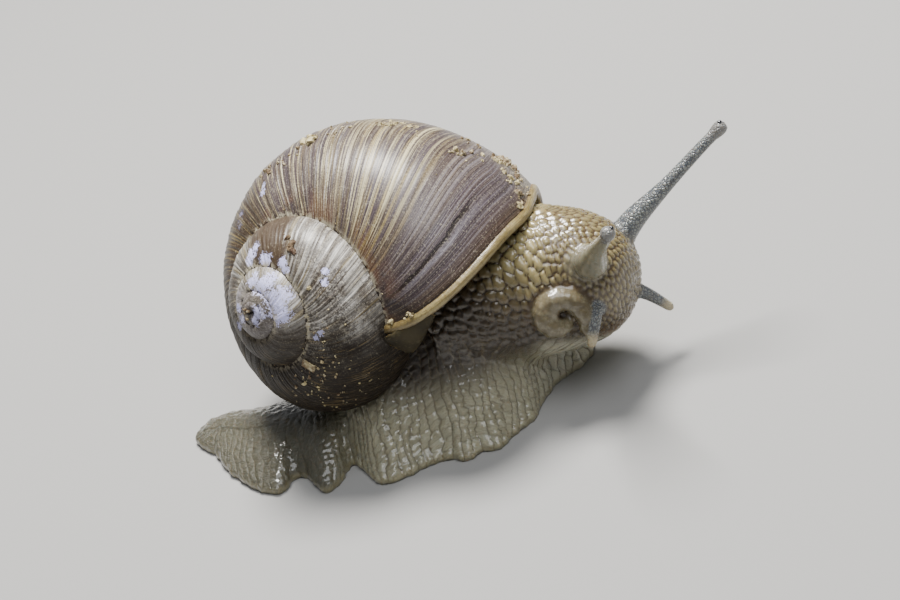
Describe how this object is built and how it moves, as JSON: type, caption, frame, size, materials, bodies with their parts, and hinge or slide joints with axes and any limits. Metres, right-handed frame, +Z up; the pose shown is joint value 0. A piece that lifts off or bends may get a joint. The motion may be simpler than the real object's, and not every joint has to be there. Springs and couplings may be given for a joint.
{
  "type": "roman snail",
  "caption": "Life-size still model of a crawling Roman snail: coiled shell, grooved foot, raised head and feelers.",
  "frame": {"origin": "on the flat sole, under the stalk that carries the shell", "axes": "+X towards the head, +Y to the animal's left, +Z up"},
  "size_m": [0.0784, 0.0397, 0.0372],
  "materials": {
    "shell": "brown-grey shell with cream growth streaks, fine ribs and chalky worn patches",
    "shell_lip": "smooth cream-ochre rim, satin",
    "mantle": "wet pale cream-green flesh",
    "flesh": "wet cream-olive skin with raised tubercles between darker grooves",
    "tentacle": "wet blue-grey skin with a dark net",
    "eye": "wet grey knob with a dark eye"
  },
  "bodies": {
    "root": {"shell": "shell", "shell_lip": "shell_lip", "mantle_collar": "mantle", "mantle_flap": "mantle", "tail": "flesh", "foot_middle": "flesh", "foot_front": "flesh", "trunk": "flesh", "neck": "flesh", "head": "flesh", "mouth": "flesh", "genital_lobe": "flesh", "tentacle_upper_left_base": "tentacle", "tentacle_upper_left_tip": "tentacle", "tentacle_upper_right_base": "tentacle", "tentacle_upper_right_tip": "tentacle", "tentacle_lower_left": "tentacle", "tentacle_lower_right": "tentacle", "eye_left": "eye", "eye_right": "eye"}
  },
  "joints": []
}
